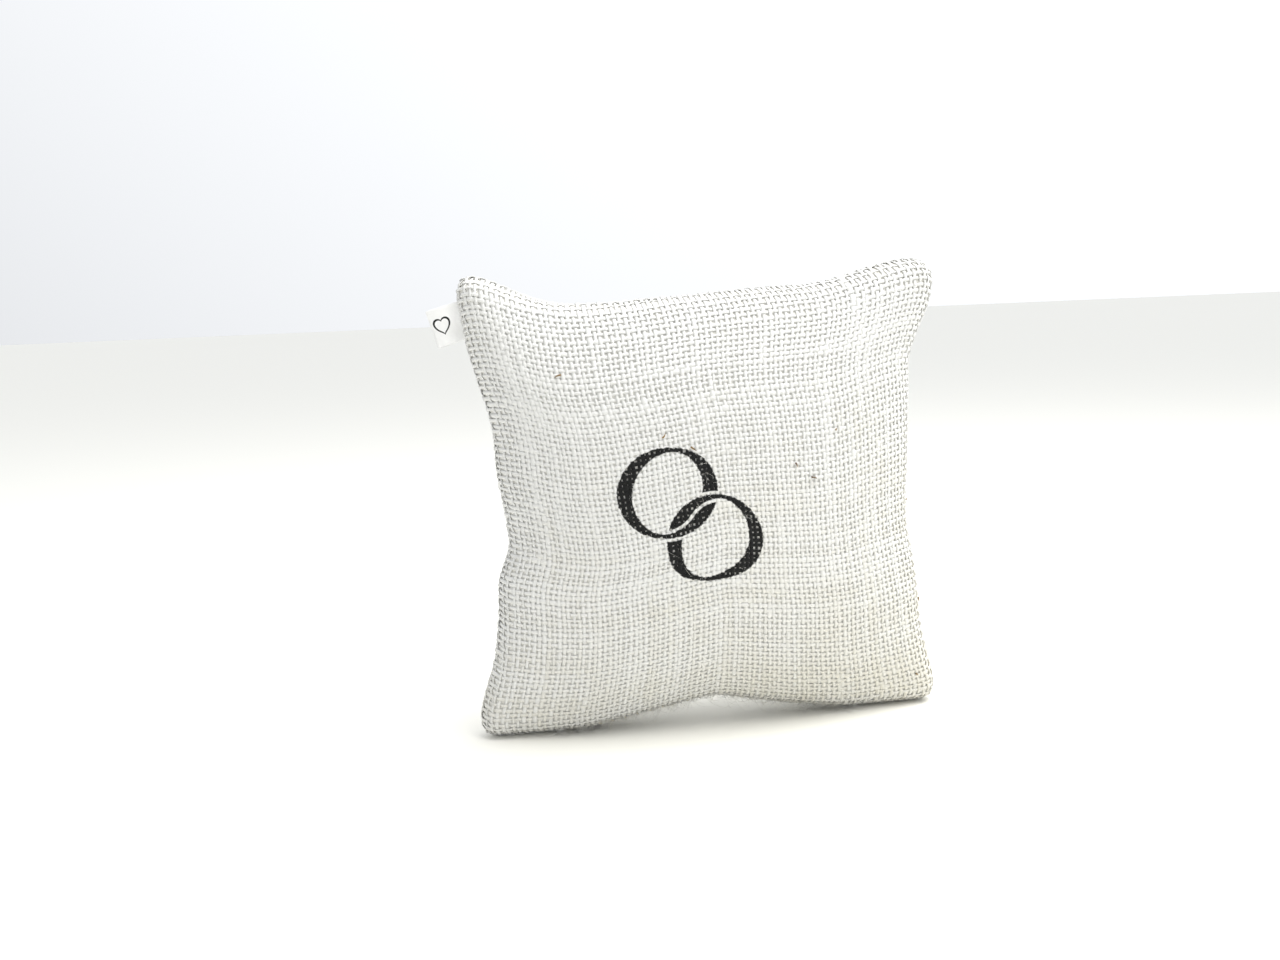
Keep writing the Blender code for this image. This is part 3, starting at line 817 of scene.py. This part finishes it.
def bag_inside(name, material, inset, below, lumps=0.0, cells=72):
    """A closed bag inside the cover: the cover's surface, a distance below it, brought together at its own
    seam inset from the cover's, with a rounded edge over the last millimetre. The lumps are waves of that
    height."""
    u = np.sin(np.linspace(-np.pi / 2, np.pi / 2, cells + 1))
    x, z = np.meshgrid(u, u, indexing="ij")
    half = cloth().panel / 2 - inset
    closing = rounded_edge(x, z, 0.010)
    edge, _, faces = bag_faces(cells)
    points, places = [], []
    for side_name in SIDES:
        surface, normal = on_cover(side_name, x * half, z * half)
        depth = below + lumps * (np.sin(x * 31 + z * 17) * np.sin(z * 37 - x * 11) + 1) / 2
        inside = surface - normal * np.expand_dims(np.broadcast_to(depth, x.shape), -1)
        inside[..., 1] *= closing
        points.append(inside.reshape(-1, 3))
        places.append(np.stack([x * half, z * half, np.zeros_like(x)], axis=-1).reshape(-1, 3))
    piece = new_piece(name, np.concatenate([points[0], points[1][~edge]]), faces, material)
    set_vectors(piece, "place", np.concatenate([places[0], places[1][~edge]]))
    return piece


def loose_fibres(name, count, where, seed, material, long=(0.002, 0.007), thick=0.00009, lift=0.5, above=0.6):
    """Short curved hairs that come out of the cloth: start + length t (tangent + lift t normal) + curl t²
    square to it, three-sided and drawn thicker than the real 0.03 mm so that they show. They start above
    times a yarn's thickness over the cloth's middle."""
    random = np.random.default_rng(seed)
    side_name, low, high = where
    x, z = (random.uniform(low[k], high[k], count) for k in (0, 1))
    start, normal = on_cover(side_name, x, z)
    ahead = on_cover(side_name, x + 0.0004, z)[0] - start
    tangent = unit(ahead - normal * (ahead * normal).sum(-1, keepdims=True))
    square = np.cross(normal, tangent)
    turn = random.uniform(0, 2 * np.pi, (count, 1))
    tangent = tangent * np.cos(turn) + square * np.sin(turn)
    square = np.cross(normal, tangent)
    size = random.uniform(*long, (count, 1)) * random.uniform(0.4, 1, (count, 1))
    curl, rise = random.normal(0, 0.5, (count, 1)), random.uniform(0.05, 1.0, (count, 1)) ** 2 * lift
    rings = 6
    t = np.linspace(0, 1, rings)[None, :, None]
    size, curl, rise = size[:, None], curl[:, None], rise[:, None]
    path = (
        start[:, None] + normal[:, None] * above * cloth().yarn_thickness
        + size * (t * tangent[:, None] + curl * t * t * square[:, None])
        + size * rise * t * (2 - t) * normal[:, None]
    )
    width = thick * np.broadcast_to(1 - 0.75 * np.linspace(0, 1, rings) ** 2, (count, rings))
    body = rings_round(path, np.broadcast_to(normal[:, None], path.shape), width, width, 3)
    body[..., 2] = np.maximum(body[..., 2], 0.0001)
    new_tubes(name, body, material)


def closing_stitch(number, x):
    """A whip stitch over the bottom seam: from the front panel round the edge to the back one, slanting by
    2.2 mm, two-ply, so that its radius is 1 + 0.18 cos(2 (t - turn)) times its own."""
    half, reach = cloth().panel / 2, trim().stitch_reach
    steps = 12
    share = np.linspace(-1, 1, 2 * steps + 1)
    x_at = x + 0.0011 * share
    z_at = -half + reach * np.abs(share)
    front, front_n = on_cover("front", x_at, z_at)
    back, back_n = on_cover("back", x_at, z_at)
    is_front = (share < 0)[:, None]
    surface, normal = np.where(is_front, front, back), np.where(is_front, front_n, back_n)
    middle = np.abs(share) < 0.12
    surface[middle] = (front[middle] + back[middle]) / 2
    normal[middle] = unit(front_n[middle] + back_n[middle])
    lift = (0.75 * cloth().yarn_thickness + 0.3 * trim().thread_width) * (1 - 0.9 * np.abs(share) ** 6)
    path = surface + normal * lift[:, None]
    for _ in range(2):
        path[1:-1] = (path[:-2] + 2 * path[1:-1] + path[2:]) / 4
    around = 8
    width = np.full((1, len(path)), trim().thread_width)
    body = rings_round(path[None], normal[None], width, width, around)
    t = 2 * np.pi * np.arange(around) / around
    turns = np.arange(len(path)) * 0.75
    ply = 1 + 0.18 * np.cos(2 * (t[None, :] - turns[:, None]))
    body = path[None, :, None] + (body - path[None, :, None]) * ply[None, ..., None]
    piece = new_tubes(f"closing_thread_{number}", body, spun_thread())
    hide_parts(f"closing_stitch_{number}")


def label_axes():
    """(flex point, out of the seam, up along the flex line, reach, half width) of the label, from its CAD
    tab."""
    joint = next(j for j in frame["joints"] if j["name"] == "label_flap")
    up = unit(np.array(joint["axis"], float))
    out = unit(np.cross(up, [0.0, 1.0, 0.0]))
    out = out if out[0] < 0 else -out
    flex = np.array(joint["pos_m"], float)
    offset = mesh_points(frame["nodes"]["label_tab"].data) - flex
    return flex, out, up, (offset @ out).max(), np.abs(offset @ up).max()


def folded_label():
    """The label: a tape carried along a path that comes out of the seam, turns in a fold at its far end,
    and goes back in. The leaves belly apart by a millimetre and the back one hangs a little lower. The
    tape's section is a thin rectangle with rounded edges."""
    flex, out, up, reach, half_width = label_axes()
    depth, gap, thickness, fold = 0.0075, 0.00045, 0.00028, 0.0009
    steps = 28
    run = np.linspace(-depth, reach - fold, steps)
    belly = gap + 0.0006 * np.sin(np.pi * np.clip(run / reach, 0, 1)) ** 1.5
    turn = np.linspace(np.pi / 2, -np.pi / 2, 9)[1:-1]
    end = belly[-1]
    ahead = np.concatenate([run, run[-1] + fold * np.cos(turn), run[::-1]])
    level = -np.concatenate([belly, end * np.sin(turn), -belly[::-1]])
    sag = np.linspace(0, 1, len(ahead)) ** 2
    lower = np.where(ahead > 0, ahead / reach, 0) * (0.0002 - 0.0011 * sag)
    path = flex + ahead[:, None] * out + level[:, None] * np.array([0.0, 1.0, 0.0]) + lower[:, None] * up
    along = unit(np.gradient(path, axis=0))
    face = unit(np.cross(along, up))
    # Half of the way round the section: along one face and round the edge. The other half is its opposite.
    across, rim = np.linspace(-half_width, half_width, 25), half_width + 0.0001
    there = np.array([*((x, 0.5) for x in across), (rim, 0.25), (rim, -0.25)])
    section = np.concatenate([there, -there])
    # The free corners curl a little to the front.
    curl = 0.0007 * np.clip(ahead / reach, 0, 1)[:, None] ** 2 * (section[None, :, 0] / half_width) ** 2
    body = (
        path[:, None] + section[None, :, :1] * up + section[None, :, 1:] * thickness * face[:, None]
        - curl[..., None] * np.array([0.0, 1.0, 0.0])
    )
    piece = new_tubes("label", body[None], twill_tape(), body=None)
    # The mark is on the outer face of the front leaf.
    outside = section[:, 1] * np.sign(face[:, 1:2]) < 0
    outside[steps:] = False
    place = np.stack(np.broadcast_arrays(ahead[:, None], section[:, 0], outside), axis=-1)
    set_vectors(piece, "place", place)
    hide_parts("label_tab", "label_root_front", "label_root_back")
    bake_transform(piece)


# ---------------------------------------------------------------- operators


class PieceOperator:
    """What every button here shares."""

    bl_options = {"REGISTER", "UNDO"}


class PILLOW_OT_cover(PieceOperator, bpy.types.Operator):
    """Stuff the cover and weave its two panels, yarn by yarn"""

    bl_idname = "pillow.cover"
    bl_label = "Weave the cover"

    def execute(self, context):
        shape_cover()
        reach = cloth().panel / 2 * 1.1 + cloth().turned_in
        for number, name in enumerate(SIDES):
            random = np.random.default_rng(11 + number)
            warp_at = yarn_places(random, cloth().warp_pitch, reach)
            weft_at = yarn_places(random, cloth().weft_pitch, reach)
            woven_yarns(name, True, warp_at, weft_at, 21 + number)
            woven_yarns(name, False, warp_at, weft_at, 31 + number)
        return {"FINISHED"}


class PILLOW_OT_inside(PieceOperator, bpy.types.Operator):
    """Make the calico case and the fibre inside it"""

    bl_idname = "pillow.inside"
    bl_label = "Fill the pillow"

    def execute(self, context):
        case = bag_inside("inner_case", plain_calico(), inset=0.0006, below=0.00042)
        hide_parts("case_front", "case_back")
        filling = bag_inside(
            "fibre_filling", polyester_fibre(), inset=0.0075, below=0.0023, lumps=0.0012, cells=56
        )
        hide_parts("fibre_fill")
        for node in ("cover_seam_thread", "case_seam_thread"):
            thread = frame["nodes"][node]
            thread.data.materials.clear()
            thread.data.materials.append(spun_thread())
        return {"FINISHED"}


class PILLOW_OT_label(PieceOperator, bpy.types.Operator):
    """Sew the folded label into the left seam"""

    bl_idname = "pillow.label"
    bl_label = "Sew in the label"

    def execute(self, context):
        folded_label()
        return {"FINISHED"}


class PILLOW_OT_closing(PieceOperator, bpy.types.Operator):
    """Close the bottom seam by hand"""

    bl_idname = "pillow.closing"
    bl_label = "Close the bottom seam"

    def execute(self, context):
        # The gap's two ends, as shares of half the panel.
        first, last, stitches = -0.50, -0.06, 9
        for number, share in enumerate(np.linspace(first, last, stitches), 1):
            closing_stitch(number, share * cloth().panel / 2)
        return {"FINISHED"}


class PILLOW_OT_hairs(PieceOperator, bpy.types.Operator):
    """Bring out the loose fibres and the bits of bark"""

    bl_idname = "pillow.hairs"
    bl_label = "Rough up the jute"

    def execute(self, context):
        half = cloth().panel / 2
        hair, bark = loose_jute(), jute_bark()
        whole = ((-0.995 * half, -0.995 * half), (0.995 * half, 0.995 * half))
        bottom = ((-0.72 * half, -0.998 * half), (0.62 * half, -0.955 * half))
        for seed, name in enumerate(SIDES, 41):
            loose_fibres(f"{name}_fibres", trim().fibres, (name, *whole), seed, hair)
            loose_fibres(
                f"{name}_bottom_fibres", trim().bottom_fibres, (name, *bottom), seed + 10, hair,
                long=(0.003, 0.010), thick=0.00013, lift=0.9,
            )
            loose_fibres(
                f"{name}_bark", trim().flecks, (name, *whole), seed + 20, bark,
                long=(0.0018, 0.0040), thick=0.0008, lift=0.05, above=1.5,
            )
        return {"FINISHED"}


class PILLOW_OT_stage(PieceOperator, bpy.types.Operator):
    """Set up the floor, the lights and the camera"""

    bl_idname = "pillow.stage"
    bl_label = "Set the stage"

    def execute(self, context):
        studio = context.scene.pillow_studio
        material, tree, shader = new_material("matt_white_board", 0.9)
        shader.inputs["Base Color"].default_value = linear(studio.floor)
        spot = add_node(tree, "TexCoord", out="Object")
        tooth = add_node(tree, "TexNoise", into={"Vector": spot, "Scale": 900.0})
        bump = add_node(tree, "Bump", into={"Height": tooth, "Strength": 0.05, "Distance": 0.0001})
        tree.links.new(bump, shader.inputs["Normal"])
        wide = 12.0
        corners = wide * np.array([[-1, -1, 0], [1, -1, 0], [1, 1, 0], [-1, 1, 0]])
        floor = new_piece("floor", corners, [[0, 1, 2, 3]], material, body=None)

        world = bpy.data.worlds.new("studio")
        world.use_nodes = True
        # The room is brightest overhead, and brighter to the right and behind than to the left and in front.
        sky = world.node_tree
        direction = add_node(sky, "TexCoord", out="Generated")
        lean = tuple(studio.lean)
        level = add_node(sky, "VectorMath", direction, lean, out="Value", operation="DOT_PRODUCT")
        level = add_node(sky, "Math", level, 1.0 - lean[1], operation="ADD")
        sky.nodes["Background"].inputs[0].default_value = linear(studio.room)
        sky.links.new(level, sky.nodes["Background"].inputs[1])
        context.scene.world = world
        context.scene.view_settings.view_transform = "Standard"

        light = bpy.data.lights.new("softbox", "AREA")
        light.size, light.energy = studio.softbox_side, studio.softbox_power
        light.color = linear("#FFFDF8")[:3]
        softbox = bpy.data.objects.new("softbox", light)
        softbox.location = studio.softbox
        pillow_middle = Vector((0.0, 0.0, 0.1))
        softbox.rotation_euler = (pillow_middle - softbox.location).to_track_quat("-Z", "Y").to_euler()
        context.scene.collection.objects.link(softbox)

        middle = seam_centre()
        target = Vector((middle[0] + studio.look_x, 0.0, studio.look_z))
        level = math.cos(studio.elevation) * studio.distance
        place = target + Vector(
            (level * math.sin(studio.azimuth), -level * math.cos(studio.azimuth),
             studio.distance * math.sin(studio.elevation))
        )
        camera = bpy.data.cameras.new("camera")
        camera.lens, camera.sensor_width = 35.0, 36.0
        camera.clip_start = 0.01
        eye = bpy.data.objects.new("camera", camera)
        aim = (target - place).to_track_quat("-Z", "Y").to_matrix().to_4x4()
        eye.matrix_world = Matrix.Translation(place) @ aim @ Matrix.Rotation(studio.roll, 4, "Z")
        context.scene.collection.objects.link(eye)
        context.scene.camera = eye
        return {"FINISHED"}


class PILLOW_PT_sidebar(bpy.types.Panel):
    """Every button, in the order that they are pressed in"""

    bl_idname = "PILLOW_PT_sidebar"
    bl_label = "Ring Pillow"
    bl_space_type = "VIEW_3D"
    bl_region_type = "UI"
    bl_category = "Ring Pillow"

    def draw(self, context):
        for operator in OPERATORS:
            self.layout.operator(operator.bl_idname)
        for name in SETTINGS:
            group = getattr(context.scene, name)
            box = self.layout.box()
            for key in group.bl_rna.properties.keys():
                if key not in {"rna_type", "name"}:
                    box.prop(group, key)


OPERATORS = (
    PILLOW_OT_cover, PILLOW_OT_inside, PILLOW_OT_label, PILLOW_OT_closing, PILLOW_OT_hairs, PILLOW_OT_stage
)
SETTINGS = {
    "pillow_cloth": PillowCloth,
    "pillow_print": PillowPrint,
    "pillow_trim": PillowTrim,
    "pillow_studio": PillowStudio,
}


def register():
    """Adds the settings, the buttons and the panel."""
    for name, group in SETTINGS.items():
        bpy.utils.register_class(group)
        setattr(bpy.types.Scene, name, bpy.props.PointerProperty(type=group))
    for made in (*OPERATORS, PILLOW_PT_sidebar):
        bpy.utils.register_class(made)


def unregister():
    """Takes them away again."""
    for made in (PILLOW_PT_sidebar, *reversed(OPERATORS)):
        bpy.utils.unregister_class(made)
    for name, group in SETTINGS.items():
        delattr(bpy.types.Scene, name)
        bpy.utils.unregister_class(group)


def main():
    """Presses every button in order."""
    register()
    bpy.ops.pillow.cover()
    bpy.ops.pillow.inside()
    bpy.ops.pillow.label()
    bpy.ops.pillow.closing()
    bpy.ops.pillow.hairs()
    bpy.ops.pillow.stage()


if __name__ == "__main__":
    main()
